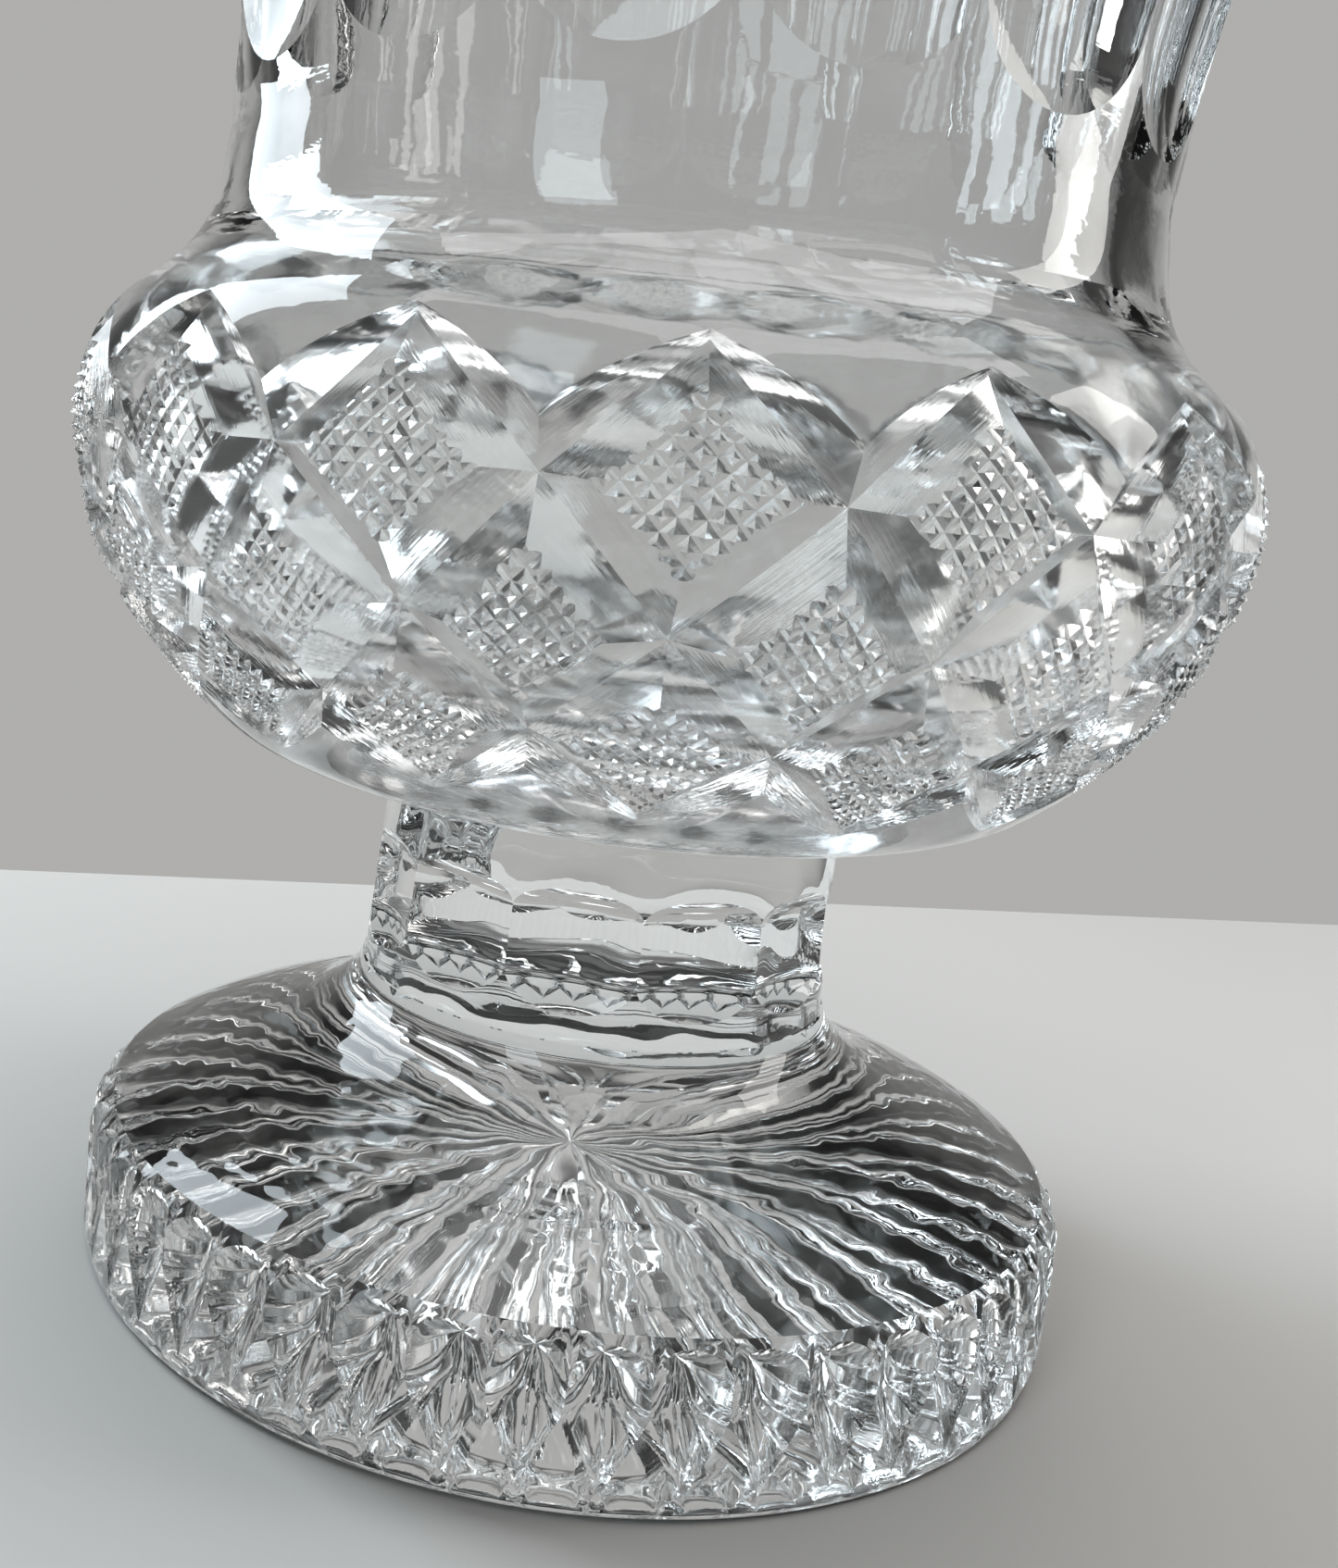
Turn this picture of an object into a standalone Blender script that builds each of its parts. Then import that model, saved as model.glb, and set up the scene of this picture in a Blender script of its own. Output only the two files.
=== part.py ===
"""Cut crystal footed vase: a thick blown bowl with a tall neck, on a solid stem and a solid foot.

Modelled upright in metres, +Z up, with the foot standing on z = 0 and the axis on the Z axis.
The driving dimensions below are in millimetres.
"""
import math

import bmesh
import bpy
from mathutils import Vector

MM = 0.001
SEAM_GAP = 0.3              # kept between the pieces at each fused seam

# Foot: a heavy disc with a fluted wall, a domed top and a star cut underneath.
FOOT_RADIUS = 72.5
FOOT_EDGE = 1.2             # height of the lower edge's bevel
FOOT_LAND = 0.6             # how far the wall's ridges stand out past the lower edge
FOOT_FLUTES = 48
FOOT_FLUTE_DEPTH = 2.6
FOOT_FLUTE_START = 3.5      # height where the pointed lower end of a flute begins
FOOT_FLUTE_FULL = 13.5      # height above which neighbouring flutes touch
FOOT_WALL_RINGS = [3.5, 8.0, 13.0, 17.5]    # heights where the wall's shape is worked out
FOOT_WALL_TOP = 18.5        # height of the ridges' upper ends
FOOT_WALL_LEAN = 0.3        # how much narrower the ridges are there
FOOT_ARCH_RISE = 2.4        # how much higher a flute's rounded top reaches than the ridges
FOOT_ARCH_INSET = 2.0       # how much further in it is
REST_RING_OUTER = 71.3
REST_RING_INNER = 63.0
STAR_RADIUS = 57.0
STAR_DEPTH = 1.7            # depth of a ray at its outer end
STAR_RELIEF = 0.5           # how far the glass between the rays stays off the table
DOME = [(70.2, 22.0), (65.0, 24.6), (58.5, 27.2), (51.0, 30.0),
        (44.0, 33.4), (38.8, 37.4), (36.2, 40.6), (35.3, 43.0)]

# Stem: a solid cylinder with a ring of oval thumb cuts round its middle.
STEM_RADIUS_LOW = 34.9
STEM_RADIUS_HIGH = 33.8
STEM_BOTTOM = DOME[-1][1] + SEAM_GAP
STEM_TOP = 71.7
STEM_CUTS = 12
STEM_CUT_DEPTH = 2.1
STEM_CUT_MIDDLE = 56.0
STEM_CUT_STRAIGHT = 4.2     # half height over which neighbouring cuts touch
STEM_CUT_ARC_LOW = 5.0      # height of the arc that ends a cut below
STEM_CUT_ARC_HIGH = 3.5     # height of the arc that ends a cut above
STEM_PHASE = math.radians(7.5)
STEM_COLUMNS = 6            # columns of vertices across one cut

# Bowl: bulb and neck in one, (radius, height) knots of the outer and inner outlines.
OUTER = [(34.5, 72.0), (45.0, 72.9), (55.5, 76.2), (63.0, 81.2), (70.6, 89.0), (78.6, 100.4),
         (82.6, 115.0), (82.5, 124.0), (78.3, 133.2), (71.4, 139.6), (67.0, 146.0),
         (65.3, 155.0), (65.0, 163.0), (67.6, 185.0), (72.6, 214.0), (79.6, 245.0), (89.0, 276.5)]
INNER = [(82.6, 275.5), (72.8, 245.0), (65.6, 214.0), (60.2, 185.0), (57.6, 163.0),
         (58.6, 146.0), (64.0, 137.5), (70.4, 128.0), (72.0, 117.0), (67.6, 103.0),
         (58.0, 93.0), (42.0, 87.0), (20.0, 84.6)]
CAVITY_FLOOR = 84.0
UNDERSIDE_RINGS = [72.9, 74.6, 77.2]        # heights where the plain glass is worked out, below the cuts
SHOULDER_RINGS = [136.0, 139.0, 142.0, 145.5, 150.0, 156.0]     # above the cuts
NECK_RINGS = [163.0, 166.0, 170.0, 175.0, 187.0, 202.0, 218.0, 236.0, 254.0, 270.0]     # along the flutes
RIM_TOP = 280.0
RIM_SCALLOP = 2.4           # how much the rim dips at each ridge between two flutes
LIP = [(0.2, 1.6), (-1.4, 0.0), (-3.4, 0.0)]    # the rim's section: past the neck's end, below the top
REPEATS = 16                # diamonds round the bulb, and flutes round the neck
NECK_FLUTE_START = 163.0
NECK_FLUTE_FULL = 175.0
NECK_FLUTE_DEPTH = 2.2

# Lattice of wide V cuts: (height on the outline, depth of the cut) where two cuts cross.
TIP = (133.2, 0.0)
CROSS_B = (117.5, 3.3)
CROSS_C = (100.4, 4.1)
CROSS_D = (88.3, 2.6)
CROSS_E = (80.3, 0.5)
VALLEY_HEIGHT = 124.0       # where the outline dips between two tips
VALLEY_BULGE = 0.7          # how much that edge bows upwards half way down
SKIRT_HEIGHT = 82.8         # where the smooth lower band rises between two lowest crossings
SKIRT_BULGE = 0.3
TOP_BEVEL = 0.50            # plain bevels as shares of a diamond's half diagonals
SIDE_BEVEL = 0.38
BOTTOM_BEVEL = 0.36

CRYSTAL = {"Base Color": (0.94, 0.965, 0.965, 1.0), "Roughness": 0.03, "Metallic": 0.0,
           "IOR": 1.54, "Transmission Weight": 1.0}


def clear_scene():
    for item in list(bpy.data.objects):
        bpy.data.objects.remove(item, do_unlink=True)


def crystal(name):
    material = bpy.data.materials.new(name)
    material.use_nodes = True
    shader = material.node_tree.nodes["Principled BSDF"]
    for socket, value in CRYSTAL.items():
        shader.inputs[socket].default_value = value
    return material


def smooth_curve(knots, steps):
    """Catmull-Rom curve through the knots, with the same number of steps between each pair."""
    ends = [knots[0]] + list(knots) + [knots[-1]]
    points = []
    for before, start, end, after in zip(ends, ends[1:], ends[2:], ends[3:]):
        for step in range(steps):
            t = step / steps
            points.append(tuple(
                0.5 * (2 * b + (c - a) * t + (2 * a - 5 * b + 4 * c - d) * t ** 2
                       + (3 * b - a - 3 * c + d) * t ** 3)
                for a, b, c, d in zip(before, start, end, after)))
    points.append(tuple(knots[-1]))
    return points


FINE_OUTLINE = smooth_curve(OUTER, 24)


def on_outline(height, depth=0.0):
    """Radius and height of the outer outline at a height, moved inwards along its normal."""
    for (r0, z0), (r1, z1) in zip(FINE_OUTLINE, FINE_OUTLINE[1:]):
        if z0 <= height <= z1:
            share = (height - z0) / (z1 - z0)
            run = math.hypot(r1 - r0, z1 - z0)
            radius = r0 + share * (r1 - r0)
            return radius - depth * (z1 - z0) / run, height + depth * (r1 - r0) / run
    raise ValueError("height off the outline: %s" % height)


def polar(radius, angle, height):
    """A point at an angle from the front, -Y, towards +X, in metres."""
    return Vector((radius * math.sin(angle), -radius * math.cos(angle), height)) * MM


def ring(bm, count, place, phase=0.0):
    """A closed ring of vertices, where place(angle) gives each one's radius and height."""
    vertices = []
    for column in range(count):
        angle = phase + math.tau * column / count
        radius, height = place(angle)
        vertices.append(bm.verts.new(polar(radius, angle, height)))
    return vertices


def round_ring(bm, count, radius, height, phase=0.0):
    """A closed ring of vertices, all with the same radius and height."""
    return ring(bm, count, lambda angle: (radius, height), phase)


def band(bm, lower, upper):
    """Faces between two rings, where one may have a whole number of times more vertices."""
    count = max(len(lower), len(upper))
    low_step, high_step = count // len(lower), count // len(upper)
    for column in range(count):
        corners = [lower[column // low_step], lower[(column + 1) // low_step % len(lower)],
                   upper[(column + 1) // high_step % len(upper)], upper[column // high_step]]
        bm.faces.new(dict.fromkeys(corners))


def skin(bm, rings):
    for lower, upper in zip(rings, rings[1:]):
        band(bm, lower, upper)


def cap(bm, rim, height):
    centre = bm.verts.new((0.0, 0.0, height * MM))
    for start, end in zip(rim, rim[1:] + rim[:1]):
        bm.faces.new((centre, start, end))


def finish(bm, name, sharp_angle):
    """Turn the closed mesh into a named object with its faces pointing out."""
    bmesh.ops.recalc_face_normals(bm, faces=bm.faces)
    bmesh.ops.triangulate(bm, faces=[face for face in bm.faces if len(face.verts) > 4])
    mesh = bpy.data.meshes.new(name)
    bm.to_mesh(mesh)
    bm.free()
    mesh.materials.append(crystal(name + "_crystal"))
    mesh.shade_smooth()
    mesh.set_sharp_from_angle(angle=math.radians(sharp_angle))
    piece = bpy.data.objects.new(name, mesh)
    bpy.context.scene.collection.objects.link(piece)
    return piece


def across(angle, repeats):
    """Place across one of the repeated cuts: 0 in its middle, -1 and 1 on the ridges beside it."""
    return 2.0 * (angle * repeats / math.tau % 1.0) - 1.0


def scoop(angle, repeats, end=0.0):
    """Relative depth of a concave cut; end grows from 0 to 1 over the arc that closes it."""
    return max(0.0, 1.0 - across(angle, repeats) ** 2 - end ** 2)


# ---------------------------------------------------------------- foot

def foot_wall(height):
    """Ring of the wall at a height: flutes that start in a point and widen until they touch."""
    width = min(1.0, (height - FOOT_FLUTE_START) / (FOOT_FLUTE_FULL - FOOT_FLUTE_START))
    radius = FOOT_RADIUS + FOOT_LAND

    def place(angle):
        if width <= 0.0:
            return radius, height
        profile = max(0.0, 1.0 - (across(angle, FOOT_FLUTES) / width) ** 2)
        return radius - FOOT_FLUTE_DEPTH * width * profile, height
    return place


def foot_arches(angle):
    """The scalloped upper edge of the wall, where each flute ends in a rounded top."""
    rise = scoop(angle, FOOT_FLUTES)
    radius = FOOT_RADIUS + FOOT_LAND - FOOT_WALL_LEAN - FOOT_ARCH_INSET * rise
    return radius, FOOT_WALL_TOP + FOOT_ARCH_RISE * rise


def star(angle):
    """Outer ends of the star's rays: V cuts, with as much flat glass between them."""
    valley = max(0.0, 1.0 - 2.0 * abs(across(angle, FOOT_FLUTES)))
    return STAR_RADIUS, STAR_RELIEF + STAR_DEPTH * valley


def make_foot():
    bm = bmesh.new()
    fine, medium, coarse = 4 * FOOT_FLUTES, 2 * FOOT_FLUTES, FOOT_FLUTES
    rings = [
        ring(bm, fine, star),
        round_ring(bm, medium, REST_RING_INNER, 0.0),
        round_ring(bm, medium, REST_RING_OUTER, 0.0),
        round_ring(bm, fine, FOOT_RADIUS, FOOT_EDGE),
    ]
    rings += [ring(bm, fine, foot_wall(height)) for height in FOOT_WALL_RINGS]
    rings.append(ring(bm, fine, foot_arches))
    rings += [round_ring(bm, coarse, *place) for place in DOME]
    skin(bm, rings)
    cap(bm, rings[0], STAR_RELIEF)
    cap(bm, rings[-1], DOME[-1][1])
    return finish(bm, "foot", 28.0)


# ---------------------------------------------------------------- stem

def stem_ring(height):
    """Ring of the stem at a height, hollowed by the oval thumb cuts."""
    share = (height - STEM_BOTTOM) / (STEM_TOP - STEM_BOTTOM)
    radius = STEM_RADIUS_LOW + share * (STEM_RADIUS_HIGH - STEM_RADIUS_LOW)
    arc = STEM_CUT_ARC_HIGH if height > STEM_CUT_MIDDLE else STEM_CUT_ARC_LOW
    end = max(0.0, (abs(height - STEM_CUT_MIDDLE) - STEM_CUT_STRAIGHT) / arc)
    return lambda angle: (radius - STEM_CUT_DEPTH * scoop(angle - STEM_PHASE, STEM_CUTS, end), height)


def make_stem():
    bm = bmesh.new()
    low, high = STEM_CUT_MIDDLE - STEM_CUT_STRAIGHT, STEM_CUT_MIDDLE + STEM_CUT_STRAIGHT
    heights = [STEM_BOTTOM]
    heights += [low - STEM_CUT_ARC_LOW * share for share in (1.0, 0.7, 0.35)]
    heights += [low, STEM_CUT_MIDDLE, high]
    heights += [high + STEM_CUT_ARC_HIGH * share for share in (0.5, 1.0)]
    heights += [STEM_TOP]
    count = STEM_CUTS * STEM_COLUMNS
    rings = [ring(bm, count, stem_ring(height), STEM_PHASE) for height in heights]
    skin(bm, rings)
    cap(bm, rings[0], STEM_BOTTOM)
    cap(bm, rings[-1], STEM_TOP)
    return finish(bm, "stem", 30.0)


# ---------------------------------------------------------------- bowl

def node_row(bm, crossing, half_turned):
    """The vertices where V cuts cross, one for each repeat."""
    radius, height = on_outline(*crossing)
    return round_ring(bm, REPEATS, radius, height, math.pi / REPEATS if half_turned else 0.0)


def wavy_edge(bm, nodes, node_height, between_height, bulge):
    """Edge of the smooth glass: the row's nodes with three outline vertices between each pair."""
    edge = []
    step = math.tau / REPEATS
    middle_height = (node_height + between_height) / 2.0 + bulge
    for index, node in enumerate(nodes):
        edge.append(node)
        for share, height in ((0.25, middle_height), (0.5, between_height), (0.75, middle_height)):
            radius, level = on_outline(height)
            edge.append(bm.verts.new(polar(radius, (index + share) * step, level)))
    return edge


def diamond(bm, index, top_row, side_row, bottom_row, heights, half_turned):
    """One diamond: four plain bevels rising from the V cuts to a table on the outline."""
    step = math.tau / REPEATS
    centre = (index + (0.5 if half_turned else 0.0)) * step
    top, side, bottom = heights
    left = side_row[index - (0 if half_turned else 1)]
    right = side_row[(index + (1 if half_turned else 0)) % REPEATS]
    places = [(centre, top - TOP_BEVEL * (top - side)),
              (centre - (1.0 - SIDE_BEVEL) * step / 2.0, side),
              (centre, bottom + BOTTOM_BEVEL * (side - bottom)),
              (centre + (1.0 - SIDE_BEVEL) * step / 2.0, side)]
    table = [bm.verts.new(polar(on_outline(height)[0], angle, height)) for angle, height in places]
    nodes = [top_row[index], left, bottom_row[index], right]
    for corner in range(4):
        after = (corner + 1) % 4
        bm.faces.new((nodes[corner], nodes[after], table[after], table[corner]))
    bm.faces.new(table)


def lattice(bm, lower_edge, upper_edge, tips, row_e):
    """The cut band of the bulb, between the two wavy edges of smooth glass."""
    row_b = node_row(bm, CROSS_B, True)
    row_c = node_row(bm, CROSS_C, False)
    row_d = node_row(bm, CROSS_D, True)
    a, b, c, d, e = (crossing[0] for crossing in (TIP, CROSS_B, CROSS_C, CROSS_D, CROSS_E))
    for index in range(REPEATS):
        diamond(bm, index, tips, row_b, row_c, (a, b, c), False)
        diamond(bm, index, row_b, row_c, row_d, (b, c, d), True)
        diamond(bm, index, row_c, row_d, row_e, (c, d, e), False)
        upper = [upper_edge[(4 * index + column) % len(upper_edge)] for column in range(5)]
        lower = [lower_edge[(4 * index + column) % len(lower_edge)] for column in range(5)]
        for start, end in zip(upper, upper[1:]):
            bm.faces.new((row_b[index], start, end))
        for start, end in zip(lower, lower[1:]):
            bm.faces.new((row_d[index], start, end))


def neck_ring(radius, height):
    """Ring of the neck or rim, hollowed by the long flutes that stand above the valleys."""
    end = max(0.0, (NECK_FLUTE_FULL - height) / (NECK_FLUTE_FULL - NECK_FLUTE_START))
    return lambda angle: (radius - NECK_FLUTE_DEPTH * scoop(angle, REPEATS, end), height)


def rim_ring(radius, height):
    """Ring of the lip, which rises over each flute and dips at the ridges."""
    return lambda angle: (radius - NECK_FLUTE_DEPTH * scoop(angle, REPEATS),
                          height - RIM_SCALLOP * across(angle, REPEATS) ** 2)


def make_bowl():
    bm = bmesh.new()
    outer_count, inner_count = 4 * REPEATS, 2 * REPEATS
    tips = node_row(bm, TIP, False)
    row_e = node_row(bm, CROSS_E, False)
    upper_edge = wavy_edge(bm, tips, TIP[0], VALLEY_HEIGHT, VALLEY_BULGE)
    lower_edge = wavy_edge(bm, row_e, CROSS_E[0], SKIRT_HEIGHT, SKIRT_BULGE)
    lattice(bm, lower_edge, upper_edge, tips, row_e)

    lower_rings = [round_ring(bm, outer_count, *OUTER[0])]
    lower_rings += [round_ring(bm, outer_count, *on_outline(height)) for height in UNDERSIDE_RINGS]
    skin(bm, lower_rings + [lower_edge])
    cap(bm, lower_rings[0], OUTER[0][1])

    upper_rings = [round_ring(bm, outer_count, *on_outline(height)) for height in SHOULDER_RINGS]
    for height in NECK_RINGS:
        upper_rings.append(ring(bm, outer_count, neck_ring(on_outline(height)[0], height)))
    for (outwards, below), count in zip(LIP, (outer_count, outer_count, inner_count)):
        upper_rings.append(ring(bm, count, rim_ring(OUTER[-1][0] + outwards, RIM_TOP - below)))
    upper_rings += [round_ring(bm, inner_count, *place) for place in smooth_curve(INNER, 2)]
    skin(bm, [upper_edge] + upper_rings)
    cap(bm, upper_rings[-1], CAVITY_FLOOR)
    return finish(bm, "bowl", 25.0)


clear_scene()
make_foot()
make_stem()
make_bowl()
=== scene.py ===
"""Looks of the cut crystal vase: three pieces of finely cut glass in a plain soft studio."""
import math

import bmesh
import bpy
import numpy as np
from mathutils import Matrix, Vector


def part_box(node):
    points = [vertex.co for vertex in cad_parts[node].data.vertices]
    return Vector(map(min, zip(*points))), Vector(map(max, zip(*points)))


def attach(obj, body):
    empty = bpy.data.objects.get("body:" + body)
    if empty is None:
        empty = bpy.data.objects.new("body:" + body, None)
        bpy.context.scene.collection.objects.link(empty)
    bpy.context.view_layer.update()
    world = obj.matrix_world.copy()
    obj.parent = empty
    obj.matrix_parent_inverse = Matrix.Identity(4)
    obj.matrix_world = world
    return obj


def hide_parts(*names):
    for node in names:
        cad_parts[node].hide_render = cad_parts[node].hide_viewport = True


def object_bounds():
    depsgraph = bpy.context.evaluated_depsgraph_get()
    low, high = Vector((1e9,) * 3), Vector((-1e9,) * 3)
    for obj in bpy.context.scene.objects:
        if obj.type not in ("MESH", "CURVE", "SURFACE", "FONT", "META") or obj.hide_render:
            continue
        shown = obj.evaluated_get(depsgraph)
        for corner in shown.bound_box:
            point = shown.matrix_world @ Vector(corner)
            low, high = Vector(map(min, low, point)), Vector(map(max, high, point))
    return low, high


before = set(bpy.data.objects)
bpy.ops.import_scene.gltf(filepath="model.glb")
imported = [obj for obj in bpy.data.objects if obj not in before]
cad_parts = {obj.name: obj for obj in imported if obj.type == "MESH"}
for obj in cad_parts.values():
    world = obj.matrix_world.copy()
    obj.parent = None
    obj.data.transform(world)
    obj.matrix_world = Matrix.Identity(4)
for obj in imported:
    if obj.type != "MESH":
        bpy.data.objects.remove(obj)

CAD_BOX = [list(corner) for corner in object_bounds()]

# ---------------------------------------------------------------- dimensions, in millimetres

MM = 0.001
JOINT_GAP = 0.01            # the visual pieces all but touch at the fused seams
SEAM_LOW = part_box("foot")[1].z / MM
SEAM_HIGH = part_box("bowl")[0].z / MM
RIM_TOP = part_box("bowl")[1].z / MM

REPEATS = 16                # diamonds round the bulb, and flutes round the neck
STEP = math.tau / REPEATS
OUTER = [(34.5, SEAM_HIGH), (45.0, 72.9), (55.5, 76.2), (63.0, 81.2), (70.6, 89.0), (78.6, 100.4),
         (82.6, 115.0), (82.5, 124.0), (78.3, 133.2), (71.4, 139.6), (67.0, 146.0),
         (65.3, 155.0), (65.0, 163.0), (67.6, 185.0), (72.6, 214.0), (79.6, 245.0), (89.0, 276.5)]
INNER = [(82.6, 275.5), (72.8, 245.0), (65.6, 214.0), (60.2, 185.0), (57.6, 163.0),
         (58.6, 146.0), (64.0, 137.5), (70.4, 128.0), (72.0, 117.0), (67.6, 103.0),
         (58.0, 93.0), (42.0, 87.0), (20.0, 84.6), (0.5, 84.0)]
RIM_SCALLOP = 2.4
LIP_RADIUS = 3.2
NECK_FLUTE_START = 163.0
NECK_FLUTE_FULL = 175.0
NECK_FLUTE_DEPTH = 2.2
NECK_LEVEL = 184.0          # above this height the neck's mesh rows are level
# Heights, and the strength of the blown inside's ripples there.
INNER_RIPPLES = [(140.0, 1.0), (155.0, 0.3), (RIM_TOP - 18.0, 0.3), (RIM_TOP - 8.0, 0.0)]

# Lattice nodes: height on the outline and depth of the V cuts where they cross.
CROSSINGS = {"A": (133.2, 0.9), "B": (117.5, 3.3), "C": (100.4, 4.1),
             "D": (88.3, 2.6), "E": (80.3, 0.5)}
# How steeply the upper and the lower side of each V cut rise from its bottom, in degrees.
CUT_SIDES = {"AB": (48.0, 28.0), "BC": (36.0, 40.0), "CD": (30.0, 48.0), "DE": (30.0, 44.0)}
LINES = 22                  # mesh intervals along one side of a diamond
FINE_CUTS = range(6, 22, 2)  # the intervals' ends where fine cuts run, each way across a diamond
FINE_DEPTH = 0.8
FINE_KNEE = 0.66            # share of that depth half way out from a fine cut's bottom
CUT_BAND = (76.0, 140.0)    # the bulb is cut between these heights
RUN_OUT_REACH = 16.0        # no V cut runs out further than this past the lattice

STEM_CUTS = 12
STEM_CUT_DEPTH = 2.1
STEM_CUT_MIDDLE = 56.0
STEM_CUT_STRAIGHT = 4.2
STEM_CUT_ARC_LOW = 5.0
STEM_CUT_ARC_HIGH = 3.5
STEM_PHASE = math.radians(7.5)
STEM_LOW = (34.9, SEAM_LOW)
STEM_HIGH = (33.8, SEAM_HIGH)

FOOT_RADIUS = 72.5
FOOT_FLUTES = 48
FOOT_FLUTE_DEPTH = 2.6
FOOT_FLUTE_START = 3.5
FOOT_FLUTE_FULL = 13.5
FOOT_WALL_TOP = 18.5
FOOT_EDGE = 1.2             # height of the rounded lower edge
FOOT_LAND = 0.6             # how far the wall's ridges stand out past that edge
FOOT_ARCH_RISE = 2.4
FOOT_ARCH_OUT = 0.3         # the arches' ends stand out past the foot's radius
FOOT_ARCH_INSET = 2.0       # and their middles are this much further in
FOOT_ARCH_BLEND = 3.2       # height over which the wall turns into its arches
FOOT_ARCH_LIMIT = 1.2       # how far an arch may stand out past its flute
REST_RING_OUTER = 71.3
REST_RING_MIDDLE = 67.0
REST_RING_INNER = 63.0
STAR_RADIUS = 57.0
STAR_SLOPE = 0.9
STAR_CUT_SHARE = 0.5        # how much of the star is cut, and not flat glass between the cuts
STAR_RELIEF = 0.5
STAR_SHORT_START = 18.0     # short rays start here, between the long ones
STAR_CUT_COLUMNS = 0.75     # share of the mesh columns that lie on a ray's V cut
FOOT_RIPPLE = 0.006
DOME = [(70.2, 22.0), (65.0, 24.6), (58.5, 27.2), (51.0, 30.0),
        (44.0, 33.4), (38.8, 37.4), (36.2, 40.6), (35.3, SEAM_LOW)]

# Material slots of the three meshes.
CUTS, FINE, SMOOTH, FLUTES, INSIDE, BOWL_SEAM = range(6)
STEM_GLASS, STEM_SEAM = range(2)
WALL, STAR, TOP, FOOT_SEAM = range(4)


# ---------------------------------------------------------------- outlines and surfaces

def smooth_curve(knots, steps):
    """Catmull-Rom curve through the knots, as an array of points."""
    ends = np.array([knots[0]] + list(knots) + [knots[-1]], float)
    t = np.linspace(0.0, 1.0, steps, endpoint=False)[:, None]
    parts = []
    for a, b, c, d in zip(ends, ends[1:], ends[2:], ends[3:]):
        parts.append(0.5 * (2 * b + (c - a) * t + (2 * a - 5 * b + 4 * c - d) * t ** 2
                            + (3 * b - a - 3 * c + d) * t ** 3))
    return np.vstack(parts + [ends[-1:]])


class Outline:
    """A turned outline, measured by the length along it."""

    def __init__(self, knots):
        curve = smooth_curve(knots, steps=40)
        self.radius, self.height = curve.T
        self.length = np.concatenate([[0.0], np.cumsum(np.hypot(*np.diff(curve, axis=0).T))])
        self.radius_slope = np.gradient(self.radius, self.length)
        self.height_slope = np.gradient(self.height, self.length)
        self.end = self.length[-1]

    def along(self, height):
        return np.interp(height, self.height, self.length)

    def radius_at(self, height):
        return np.interp(height, self.height, self.radius)

    def point(self, angle, length, depth=0.0):
        """Points at an angle from the front and a length along the outline, sunk by a depth."""
        slope_r = np.interp(length, self.length, self.radius_slope)
        slope_z = np.interp(length, self.length, self.height_slope)
        radius = np.interp(length, self.length, self.radius) - depth * slope_z
        height = np.interp(length, self.length, self.height) + depth * slope_r
        return polar(radius, angle, height)

    def normal(self, angle, length):
        slope_r = np.interp(length, self.length, self.radius_slope)
        slope_z = np.interp(length, self.length, self.height_slope)
        return polar(slope_z, angle, -slope_r)

    def locate(self, points):
        """Angles and lengths of the surface points that the given points lie straight under."""
        radius = np.hypot(points[:, 0], points[:, 1])
        length = self.along(points[:, 2])
        for _ in range(40):
            slope_r = np.interp(length, self.length, self.radius_slope)
            slope_z = np.interp(length, self.length, self.height_slope)
            outward = radius - np.interp(length, self.length, self.radius)
            upward = points[:, 2] - np.interp(length, self.length, self.height)
            length = length + outward * slope_r + upward * slope_z
        return np.arctan2(points[:, 0], -points[:, 1]), length


def polar(radius, angle, height):
    radius, angle, height = np.broadcast_arrays(radius, angle, height)
    return np.stack([radius * np.sin(angle), -radius * np.cos(angle), height], axis=-1)


def within(values, low, high, fade):
    """1 well inside a range, and fading to 0 at both of its ends."""
    return np.clip((values - low) / fade, 0.0, 1.0) * np.clip((high - values) / fade, 0.0, 1.0)


def unit(vector):
    return vector / np.linalg.norm(vector)


def turned(points, angle):
    """Points turned about the axis, by an angle from the front towards +X."""
    c, s = math.cos(angle), math.sin(angle)
    return points @ np.array([[c, s, 0.0], [-s, c, 0.0], [0.0, 0.0, 1.0]])


def whole_ring(row, repeats):
    """The ring that a row makes when it is repeated all the way round."""
    return np.vstack([turned(row[:-1], math.tau * index / repeats) for index in range(repeats)])


# Shares of a diamond's side where its mesh lines run: closer together where the fine cuts are.
GRID = [round(k / LINES, 9) for k in sorted(set(range(LINES + 1)) | {
    cut + half for cut in FINE_CUTS for half in (-0.5, 0.5)})]


def mixed(start, end, count):
    """Rows of points from one row to another, both included."""
    share = np.linspace(0.0, 1.0, count + 1)[:, None, None]
    return start[None] * (1.0 - share) + end[None] * share


# ---------------------------------------------------------------- mesh building

WELD_REACH = 6e-6           # points closer than this become one; both are in metres
SHORTEST_EDGE = 1e-7


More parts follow.
